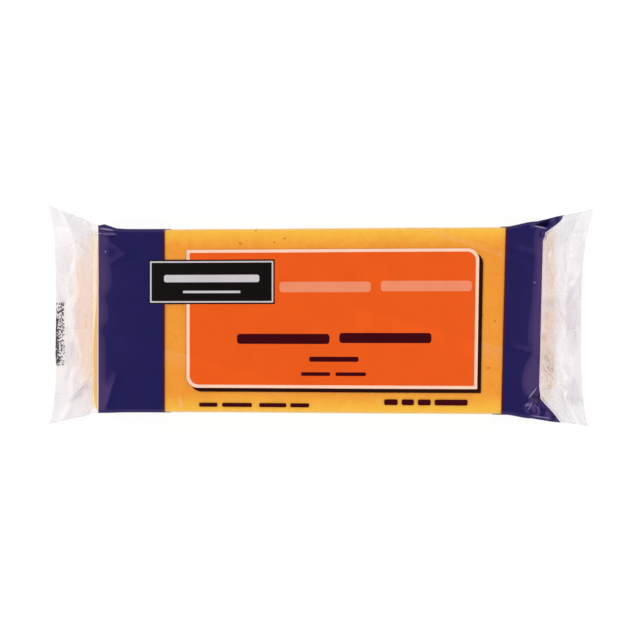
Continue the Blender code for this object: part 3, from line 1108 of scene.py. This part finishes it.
# painted white highlights along the ridges
RIDGE_HIGHLIGHTS = (
    Patch(-73.6, 21.0, 0.6, 3.0, 6, 0.7), Patch(-75.0, 10.4, 0.4, 1.0, 0, 0.9),
    Patch(-70.8, -18.6, 3.6, 0.6, 50, 0.7), Patch(69.6, 19.8, 0.35, 1.6, -14, 0.9),
    Patch(73.3, 9.4, 0.3, 1.4, 22, 1.0), Patch(76.8, 23.2, 0.7, 2.0, 0, 0.7),
    Patch(76.6, 11.6, 0.8, 0.5, 20, 0.9), Patch(74.6, -22.8, 0.5, 1.4, -12, 0.9),
    Patch(75.2, -26.4, 0.35, 3.0, 4, 0.7), Patch(70.6, -13.4, 0.8, 4.6, 8, 0.5),
    Patch(77.6, -2.8, 0.9, 0.15, 0, 0.9), Patch(74.4, -4.0, 0.3, 3.4, 4, 0.7),
)
# painted crackle of shade where the wrinkled film refracts, and two folds painted dark with shade
CRACKLE_SHADES = (Patch(69.4, -14.0, 2.2, 6.6, 0, 0.8), Patch(69.2, -16.4, 1.2, 2.4, 0, 1.3))
FOLDS_IN_SHADE = (Patch(67.9, 25.8, 0.8, 1.9, -18, 1.0), Patch(67.6, -5.2, 1.2, 1.0, 0, 0.4))
GLOW_EDGE = 0.4
GLOW_LEAST = 0.75
GLOW_FACETS = 0.35
GLOW_CRUMBS = 0.6
CRACKLE_CELLS = 1.7
CRACKLE_WIDTH = (0.10, 0.03)
CRACKLE_SHARE = (0.35, 0.6)
GLOW_HAZE = 0.06
SHADE_HAZE = 0.10
RIDGE_HIGHLIGHT_HAZE = 0.30
CRACKLE_SHADE_HAZE = 0.42
FOLD_HAZE = 0.45
# colours of the painted glow of the cheese reflected in the film, and of its stronger patches
WARM_LEFT = srgb(252, 194, 132)
WARM_RIGHT = srgb(230, 198, 170)
STRONG_GLOW = srgb(238, 182, 92)
MAUVE = srgb(176, 164, 182)
# painted shade colours: the crackle's lines and the folds in shade
CRACKLE_SHADE = srgb(140, 92, 62)
FOLD_SHADE = srgb(146, 120, 138)


def object_place(tree):
    """A place in millimetres: the whole vector, and how far right and up it is from the block's middle."""
    metres = add(tree, "ShaderNodeTexCoord", out=3)
    place = add(tree, "ShaderNodeVectorMath", {"operation": "SCALE"}, {0: metres, "Scale": 1 / MM})
    x = parts_of(place)
    return place, x - MIDDLE.x / MM, x.output("Y") - MIDDLE.y / MM


def painted_end_light(seen, bent, facet, crumb, right):
    """Each kind of painted light or shade on the ends: where it is, how much haze it adds, and its colour.
    """
    glow = spots(seen, GLOWS, GLOW_EDGE)
    glow = glow * (GLOW_LEAST + GLOW_FACETS * facet + (crumb - 0.5) * right * GLOW_CRUMBS)
    crackle_lines = cells(bent, CRACKLE_CELLS, "DISTANCE_TO_EDGE").ramp(*CRACKLE_WIDTH)
    crackle_shade = spots(seen, CRACKLE_SHADES) * crackle_lines * crumb.output("Blue").ramp(*CRACKLE_SHARE)
    return (
        (glow, right * GLOW_HAZE, between(right, WARM_LEFT, WARM_RIGHT)),
        (spots(seen, STRONG_GLOWS), 0.0, STRONG_GLOW),
        (spots(seen, SHADES), SHADE_HAZE, MAUVE),
        (spots(seen, RIDGE_HIGHLIGHTS), RIDGE_HIGHLIGHT_HAZE, WHITE),
        (crackle_shade, CRACKLE_SHADE_HAZE, CRACKLE_SHADE),
        (spots(seen, FOLDS_IN_SHADE), FOLD_HAZE, FOLD_SHADE),
    )


# %% [markdown]
# Clear film is mostly see-through and partly mirror. A little white haze is mixed in where the film is
# loose: hardly any over the cheese, more on the gables, and most on the fins, where two sheets
# are welded and crumpled. Voronoi cells, bent by a broad noise, give it facets. A streak of it lies along
# the left rim, where the film stands off the cheese's end, strongest towards the front.

# %% Haze
HAZE_TIGHT = 0.015
HAZE_RIM = 0.42
HAZE_GABLE = 0.28
HAZE_FIN = 0.30
HAZE_WELD = 0.37
# haze of the painted sheen where air is under the film
HAZE_SHEEN = 0.16
COOL = srgb(226, 219, 229)
PALE_LEFT = srgb(250, 240, 239)
PALE_RIGHT = srgb(243, 239, 243)
# colour of the painted sheen where air is under the film
SHEEN_COLOUR = srgb(255, 216, 150)
RIM_AIR = srgb(255, 229, 156)
RIM = RIM_START / MM
FOOT_AT = 0.93
WELD_WIDTH = 4.6
FOOT = (RIM_START + RIM_WEB + FOOT_AT * GABLE_WEB) / MM
WELD = WEB_LENGTH / 2 / MM - WELD_WIDTH
GABLE_STARTS = (RIM + 2.4, RIM + 5.2)
FIN_STARTS = (FOOT, FOOT + 1.2)
WELD_STARTS = (WELD - 0.3, WELD + 0.3)
RIM_STARTS = (RIM - 0.4, RIM + 0.2)
RIM_SIDES = (27.0, 25.0)
RIM_FADES = (2.0, 20.0)
RIM_FADE = 0.6
RIM_TINT = (0.0, 0.3)
SHEEN_TINT = (0.0, 0.05)
RIGHT_HALF = (-1.0, 1.0)
CLOUD_WAVES = 0.16
CLOUD_BEND = (6.0, 4.0)
CELL_STRETCH = 0.42
FACET_CELLS = 0.34
CRUMB_CELLS = 0.95
SEEN_BEND = (1.6, 4.0)
SEEN_CRUMBS = (0.5, 0.6)
FIN_WANDER = 4.0
OUTER = (16.0, 30.0)
OUTER_CLEAR = 0.45
HAZE_EVEN = 0.88
HAZE_FACETS = 0.15
HAZE_CRUMBS = 0.08
TUCK_CLEAR = 0.75


def rim_streak(along, across, right, gable):
    """The streak of haze along the left rim."""
    rim = abs(along).ramp(*RIM_STARTS) * (1 - gable) * abs(across).ramp(*RIM_SIDES)
    return rim * (1 - right) * (1 - across.ramp(*RIM_FADES) * RIM_FADE)


def haze_of(along, across, tucked, sheen):
    """How much haze the film has, and its colour, with painted light and shade on the ends and a painted
    sheen over air.
    """
    out = abs(along)
    right = along.ramp(*RIGHT_HALF)
    clouds = grain(vector(along, across), CLOUD_WAVES)
    bent = vector(along + clouds * CLOUD_BEND[0], across * CELL_STRETCH + clouds * CLOUD_BEND[1])
    facet = chances(cells(bent, FACET_CELLS))
    crumb = chances(cells(bent, CRUMB_CELLS))
    _, x, y = object_place(along.tree)
    x = x + (clouds - 0.5) * SEEN_BEND[0] + (crumb - 0.5) * SEEN_CRUMBS[0]
    y = y + (clouds - 0.5) * SEEN_BEND[1] + (crumb.output("Green") - 0.5) * SEEN_CRUMBS[1]
    gable = out.ramp(*GABLE_STARTS)
    fin = (out + (clouds - 0.5) * FIN_WANDER).ramp(*FIN_STARTS)
    weld = out.ramp(*WELD_STARTS)
    rim = rim_streak(along, across, right, gable)
    loose = gable * HAZE_GABLE + fin * (HAZE_FIN - HAZE_GABLE) + weld * (HAZE_WELD - HAZE_FIN)
    loose = loose * (1 - abs(y).ramp(*OUTER) * fin * OUTER_CLEAR)
    loose = loose * (HAZE_EVEN + HAZE_FACETS * facet + HAZE_CRUMBS * crumb * right)
    colour = between(facet.output("Green"), COOL, between(right, PALE_LEFT, PALE_RIGHT))
    # painted light and shade of the ends: each adds haze and its own colour on the gables
    marks = 0.0
    for mask, more_haze, tint in painted_end_light(vector(x, y), bent, facet, crumb, right):
        marks = marks + mask * more_haze
        colour = between((gable * mask).clamped(), colour, tint)
    # painted sheen where air is under the film, joined with the haze streak along the left rim
    air = (sheen * (1 - gable)).most(rim)
    amount = HAZE_TIGHT + rim * HAZE_RIM + loose * (1 - tucked * TUCK_CLEAR)
    amount = amount + air * (1 - rim) * HAZE_SHEEN + gable * marks * (1 - tucked)
    colour = between(air.ramp(*SHEEN_TINT), colour, SHEEN_COLOUR)
    return amount, between(rim.ramp(*RIM_TINT), colour, RIM_AIR)


# %% [markdown]
# The lap seam runs along the middle of the back, where the tube's edges overlap in a strip under a
# centimetre wide. Three layers of film there are hazier than one.

# %% Lap seam
SEAM_MIDDLE = 2.3
SEAM_HALF = 4.8
SEAM_SOFT = 0.15
SEAM_HAZE = 0.07


def seam(across):
    """1 on the lap seam along the back."""
    to_back = WEB_ROUND / 2 / MM - abs(across)
    place = to_back * (across.above(0.0) * 2 - 1)
    return stripe(place, SEAM_MIDDLE, SEAM_HALF, SEAM_SOFT) * (1 - to_back.above(WEB_QUARTER / MM))


# %% [markdown]
# Bump adds what is too fine to model: the ribs that the heated jaws press into the welds, and the small
# crinkles of loose film. It is weak on the face, where the film is stretched smooth.

# %% Fine relief of the film
RIB = 0.8
RIB_HEIGHT = 0.003
RIB_STARTS = (WELD - 0.2, WELD + 0.2)
CRINKLE_WAVES = 0.45
CRINKLE_STRETCH = (1.5, 0.6)
CRINKLE_TIGHT = 0.010
CRINKLE_LOOSE = 0.07
CRINKLE_FIN = -0.04
CRINKLE_FIN_STARTS = (FOOT - 2.0, FOOT + 2.0)


def film_relief(along, across, loose):
    """The film's normal, with its crinkles and ribs."""
    out = abs(along)
    crinkle = grain(vector(along * CRINKLE_STRETCH[0], across * CRINKLE_STRETCH[1]), CRINKLE_WAVES)
    ribs = (along * (2 * math.pi / RIB)).math("SINE") * out.ramp(*RIB_STARTS)
    fin = out.ramp(*CRINKLE_FIN_STARTS)
    return relief(crinkle * (CRINKLE_TIGHT + CRINKLE_LOOSE * loose + CRINKLE_FIN * fin) + ribs * RIB_HEIGHT)


# %% [markdown]
# The layers go together from the film up. The mirror's share grows at grazing angles and is the same from
# both sides of such a thin sheet, so it is worked out from the facing of the surface and not by refraction.
# Haze is a dull shader mixed in, then the inks cover it, a little uneven in tone. The blue ink is made the
# same way, but its gloss is tinted violet, and the stamp lies over everything.

# %% The film's material
LOOSE_STARTS = (RIM, RIM + 5.0)
TONE_WAVES = 0.12
TONE_LEAST = 0.91
TONE_CLOUDS = 0.16
# how much lighter the inks are painted in the air sheen
TONE_SHEEN = 0.05
MIRROR_LEAST = 0.045
MIRROR_TUCK_LOSS = 0.75
TIGHT_ROUGHNESS = 0.07
LOOSE_ROUGHNESS = 0.10
HAZE_ROUGHNESS = 0.35
INK_ROUGHNESS = 0.12
STAMP_ROUGHNESS = 0.5
VIOLET_GLOSS = {"Specular Tint": (0.80, 0.45, 0.86, 1.0), "Specular IOR Level": 0.44}
STAMP_INK = srgb(38, 34, 40)


def uneven(colour, along, across, sheen):
    """An ink's colour, a little lighter and darker in clouds, and painted a little lighter where the air
    sheen is.
    """
    tone = grain(vector(along, across), TONE_WAVES) * TONE_CLOUDS + TONE_LEAST + sheen * TONE_SHEEN
    grey = add(tone.tree, "ShaderNodeCombineColor", {}, {0: tone, 1: tone, 2: tone})
    settings = {"data_type": "RGBA", "blend_type": "MULTIPLY"}
    return add(tone.tree, "ShaderNodeMix", settings, {0: 1.0, 6: colour, 7: grey}, out=2)


def film_material():
    """Printed clear film: a thin sheet with a mirror gloss, haze where it is loose, and inks over it."""
    material, tree = blank("printed_film")
    along, across = place_on_web(tree)
    tucked = add(tree, "ShaderNodeAttribute", {"attribute_name": "tucked"}, out=2)
    sheen = air_sheen(along, across)
    loose = abs(along).ramp(*LOOSE_STARTS)
    normal = film_relief(along, across, loose)
    facing = add(tree, "ShaderNodeLayerWeight", {}, {"Blend": 0.5, "Normal": normal}, out=1)
    mirror = (MIRROR_LEAST + (1 - MIRROR_LEAST) * facing**5) * (1 - MIRROR_TUCK_LOSS * tucked)
    roughness = TIGHT_ROUGHNESS + LOOSE_ROUGHNESS * loose
    shine = {"Base Color": WHITE, "Metallic": 1.0, "Roughness": roughness, "Normal": normal}
    sheet = blend(mirror, add(tree, "ShaderNodeBsdfTransparent"), principled(tree, shine))
    amount, haze = haze_of(along, across, tucked, sheen)
    amount = amount + seam(across) * SEAM_HAZE
    misty = principled(tree, {"Base Color": haze, "Roughness": HAZE_ROUGHNESS, "Normal": normal})
    sheet = blend(amount.clamped(), sheet, misty)
    colour, cover, blue = printed(along, across)
    colour = uneven(colour, along, across, sheen)
    ink = {"Base Color": colour, "Roughness": INK_ROUGHNESS, "Normal": normal}
    inks = blend(blue, principled(tree, ink), principled(tree, {**ink, **VIOLET_GLOSS}))
    sheet = blend(cover, sheet, inks)
    stamp = principled(tree, {"Base Color": STAMP_INK, "Roughness": STAMP_ROUGHNESS})
    show(blend(stamped(along, across), sheet, stamp))
    return material


film = piece("film_wrap", rolled_film(), film_material())
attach(film, "root")
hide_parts("sealed_pack")

# %% [markdown]
# The cheese is a block cut by wires: flat faces, soft edges, and a surface that is never quite even. It is
# a cube, bevelled and then sliced by planes so that it has enough vertices to shape. It stays a hair inside
# the film, and its top falls away towards the ends a little sooner than the film does. Its left end is cut
# a little out of square, with blunt corners, as the strip of light beside it shows.

# %% The block of cheese
CLEARANCE = 0.22 * MM
END_CLEARANCE = 0.05 * MM
SLICE = 3.0 * MM
SLICE_MERGE = 1e-7
UNEVEN = 0.09 * MM
UNEVEN_WAVE = 9 * MM
CHEESE_EDGE = 1.3 * MM
EDGE_STEPS = 5
END_FALL = 1.1 * MM
END_FALL_RUN = 9.0 * MM
CORNER_FALL = 1.3
CORNER_CUT = 1.2 * MM
LEFT_CUT = 1.1 * MM
LEFT_CUT_RUN = 20 * MM
LEFT_CORNER = 0.9 * MM
LEFT_CORNER_FROM = 22.5 * MM
LEFT_CORNER_RUN = 5 * MM


def cut_block(place):
    """Where a point of an even block lies in the cheese."""
    place = place.copy()
    place.y *= half_width(place.x) / HALF_WIDTH
    near_end = smooth((abs(place.x) - HALF_LENGTH + END_FALL_RUN) / END_FALL_RUN)
    near_corner = near_end * smooth((abs(place.y) - HALF_WIDTH + 2 * END_FALL_RUN) / END_FALL_RUN)
    place.z -= END_FALL * (near_end + CORNER_FALL * near_corner) * smooth(place.z / HALF_HEIGHT)
    if place.x > 0:
        place.x -= CORNER_CUT * near_corner**2
        place.x += slant(place.x, place.y)
    else:
        out_of_square = LEFT_CUT * smooth((place.y + LEFT_CUT_RUN / 2) / LEFT_CUT_RUN)
        blunt = LEFT_CORNER * smooth((abs(place.y) - LEFT_CORNER_FROM) / LEFT_CORNER_RUN)
        place.x += near_end * (out_of_square + blunt)
    return place + MIDDLE


def block_mesh():
    """The cheese's mesh."""
    bm = bmesh.new()
    bmesh.ops.create_cube(bm, size=1.0)
    size = [BLOCK_LENGTH - 2 * END_CLEARANCE, 2 * (HALF_WIDTH - CLEARANCE), BLOCK_HEIGHT - 2 * CLEARANCE]
    bmesh.ops.scale(bm, verts=bm.verts, vec=size)
    bmesh.ops.bevel(
        bm, geom=bm.edges, offset=CHEESE_EDGE, offset_type="OFFSET", affect="EDGES", segments=EDGE_STEPS,
        profile=0.5, material=-1,
    )
    for axis, reach in enumerate(size):
        cuts = int(reach / SLICE)
        for k in range(1, cuts):
            place, facing = Vector(), Vector()
            place[axis] = reach * (k / cuts - 0.5)
            facing[axis] = 1.0
            whole = [*bm.verts, *bm.edges, *bm.faces]
            bmesh.ops.bisect_plane(bm, geom=whole, dist=SLICE_MERGE, plane_co=place, plane_no=facing)
    bm.normal_update()
    for vert in bm.verts:
        push = noise.noise(vert.co / UNEVEN_WAVE) * UNEVEN - 0.5 * UNEVEN
        vert.co = cut_block(vert.co + vert.normal * push)
    return bm


# %% [markdown]
# Orange cheddar is coloured with annatto. It isn't one flat orange: curds pressed together leave faint
# lighter and darker clouds with joints between them, and a few dark specks. Along the long edges the cheese
# is painted paler, a painted highlight where its rounded edges catch the light. A Noise texture gives the
# clouds, and Voronoi cells the joints and the specks. A few small pits are listed. A little light passes
# into the surface, which subsurface scattering shows.

# %% The cheese's material
CHEDDAR = srgb(247, 163, 44)
CHEDDAR_DEEP = srgb(239, 148, 32)
# colour of the painted highlight along the cheese's long edges
CHEDDAR_EDGE_HIGHLIGHT = srgb(255, 206, 66)
SPECK = srgb(176, 96, 18)
PIT = srgb(184, 94, 0)
PITS = (
    Patch(-23.0, 22.9, 0.55, 0.32, -30, 0.6), Patch(-12.9, 23.3, 0.30, 0.28, 0, 0.7),
    Patch(-9.9, 24.4, 0.50, 0.34, 15, 0.5), Patch(48.8, 1.7, 0.20, 0.20, 0, 0.6),
    Patch(52.4, -0.1, 0.36, 0.24, 0, 0.6), Patch(50.5, -14.0, 0.48, 0.28, 8, 0.7),
)
CLOUDS = (0.07, 3.0, 0.55)
CURDS = (0.45, 2.0, 0.5)
JOINT_CELLS = 0.11
JOINT_WIDTH = (0.0, 0.06)
SPECK_CELLS = 0.16
SPECK_SIZE = (0.04, 0.075)
SPECKLESS = 0.66
SPECK_SHARE = 0.6
TONE_MIDDLE = 0.45
CLOUD_TONE = 1.5
CURD_TONE = 0.5
JOINT_TONE = -0.25
EDGE_HIGHLIGHT_STARTS = (20.5, 28.0)
EDGE_HIGHLIGHT_WANDER = 3.0
EDGE_HIGHLIGHT_SHARE = 0.75
CLOUD_HEIGHT = 0.10
CURD_HEIGHT = 0.03
SPECK_DEPTH = 0.10
PIT_DEPTH = 0.15
CHEESE_ROUGHNESS = 0.42
CURD_ROUGHNESS = 0.12
CHEESE_BODY = {
    "Subsurface Weight": 0.10, "Subsurface Radius": (1.0, 0.45, 0.15), "Subsurface Scale": 2.5 * MM,
    "Specular IOR Level": 0.15,
}


def cheddar_material():
    """Smooth orange cheddar."""
    material, tree = blank("cheddar")
    place, x, y = object_place(tree)
    pits = spots(vector(x, y), PITS)
    clouds = grain(place, *CLOUDS)
    curds = grain(place, *CURDS)
    joints = 1 - cells(place, JOINT_CELLS, "DISTANCE_TO_EDGE").ramp(*JOINT_WIDTH)
    speck_cells = cells(place, SPECK_CELLS)
    specks = (1 - speck_cells.ramp(*SPECK_SIZE)) * chances(speck_cells).above(SPECKLESS)
    tone = (clouds - 0.5) * CLOUD_TONE + (curds - 0.5) * CURD_TONE + TONE_MIDDLE + joints * JOINT_TONE
    colour = between(tone.clamped(), CHEDDAR_DEEP, CHEDDAR)
    # painted highlight: paler along the long edges, where the rounded edges catch the light
    edge = abs(y + (curds - 0.5) * EDGE_HIGHLIGHT_WANDER).ramp(*EDGE_HIGHLIGHT_STARTS)
    colour = between(edge * EDGE_HIGHLIGHT_SHARE, colour, CHEDDAR_EDGE_HIGHLIGHT)
    colour = between(specks * SPECK_SHARE, colour, SPECK)
    colour = between(pits, colour, PIT)
    normal = relief(clouds * CLOUD_HEIGHT + curds * CURD_HEIGHT - specks * SPECK_DEPTH - pits * PIT_DEPTH)
    roughness = CHEESE_ROUGHNESS + CURD_ROUGHNESS * curds
    values = {"Base Color": colour, "Roughness": roughness, "Normal": normal}
    show(principled(tree, {**values, **CHEESE_BODY}))
    return material


cheese = piece("cheese_block", block_mesh(), cheddar_material())
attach(cheese, "root")

# %% [markdown]
# A product studio lights such a pack from all round, with the camera in a dark gap straight above. That is
# why flat, glossy film looks deep and clear in the photo while every tilted facet lights up. The world does
# this by its direction: dark overhead, bright in a wide ring, and softer towards the horizon. Two softboxes
# above the pack's ends add a little more.

# %% Studio light
ZENITH_LIGHT = 0.02
RING_LIGHT = 1.0
HORIZON_LIGHT = 0.25
ZENITH_STARTS = (0.930, 0.985)
HORIZON_STARTS = (0.50, 0.15)
SOFTBOX_PLACE = (0.55, 0.05, 0.75)
SOFTBOX_SIZE = (0.5, 0.9)
SOFTBOX_POWER = 1.3
SOFTBOX_AIM = (0, 0, 0.02)


def studio_world():
    """The world's light, by how high each direction is."""
    world = bpy.data.worlds.new("studio")
    bpy.context.scene.world = world
    world.use_nodes = True
    tree = world.node_tree
    tree.nodes.clear()
    up = parts_of(add(tree, "ShaderNodeTexCoord")).output("Z")
    zenith = up.ramp(*ZENITH_STARTS)
    horizon = up.ramp(*HORIZON_STARTS)
    light = RING_LIGHT + horizon * (HORIZON_LIGHT - RING_LIGHT) + zenith * (ZENITH_LIGHT - RING_LIGHT)
    background = add(tree, "ShaderNodeBackground", {}, {"Color": WHITE, "Strength": light})
    add(tree, "ShaderNodeOutputWorld", {}, {"Surface": background})


def softbox(name, sign):
    """A rectangular lamp on one side, above the pack and facing it."""
    lamp = bpy.data.lights.new(name, "AREA")
    lamp.shape = "RECTANGLE"
    lamp.size, lamp.size_y = SOFTBOX_SIZE
    lamp.energy = SOFTBOX_POWER
    made = bpy.data.objects.new(name, lamp)
    made.location = (sign * SOFTBOX_PLACE[0], *SOFTBOX_PLACE[1:])
    made.rotation_euler = (Vector(SOFTBOX_AIM) - made.location).to_track_quat("-Z", "Y").to_euler()
    bpy.context.scene.collection.objects.link(made)


bpy.context.scene.view_settings.view_transform = "Standard"
studio_world()
softbox("left_softbox", -1)
softbox("right_softbox", 1)

# %% [markdown]
# The pack lies on a white sheet lit until it is white in the picture. A sheet that glows a little keeps the
# ground white right up to the pack, as it is in the photo, with only a trace of shadow.

# %% Floor
FLOOR_HALF = 1.5
FLOOR_GAP = 0.05 * MM
FLOOR_GREY = 0.22
FLOOR_GLOW = 0.84


def white_floor():
    """A wide plain sheet just under the pack."""
    material, tree = blank("white_floor")
    values = {
        "Base Color": (FLOOR_GREY, FLOOR_GREY, FLOOR_GREY, 1), "Roughness": 1.0, "Specular IOR Level": 0.0,
        "Emission Color": WHITE, "Emission Strength": FLOOR_GLOW,
    }
    show(principled(tree, values))
    bm = bmesh.new()
    bmesh.ops.create_grid(bm, x_segments=1, y_segments=1, size=FLOOR_HALF)
    bmesh.ops.translate(bm, verts=bm.verts, vec=(0, 0, low.z - FLOOR_GAP))
    return piece("floor", bm, material)


white_floor()

# %% [markdown]
# The camera hangs straight above the pack. From the photo, the top face's plane shows 0.296 mm a pixel, and
# the lens is chosen so that it does the same at that distance. The pack isn't quite in the picture's
# middle, so the camera stands a little to the side instead of shifting its lens.

# %% Camera
PICTURE = 640
PIXEL = 0.2962 * MM
CAMERA_ABOVE = 650.0 * MM
AXIS = (0.59 * MM, 0.21 * MM)
SENSOR = 36.0

lens = bpy.data.cameras.new("camera")
lens.sensor_width = SENSOR
lens.lens = SENSOR * CAMERA_ABOVE / (PICTURE * PIXEL)
camera = bpy.data.objects.new("camera", lens)
camera.location = (MIDDLE.x + AXIS[0], MIDDLE.y + AXIS[1], MIDDLE.z + HALF_HEIGHT + CAMERA_ABOVE)
bpy.context.scene.collection.objects.link(camera)
bpy.context.scene.camera = camera
print("lens:", round(lens.lens, 1), "mm")
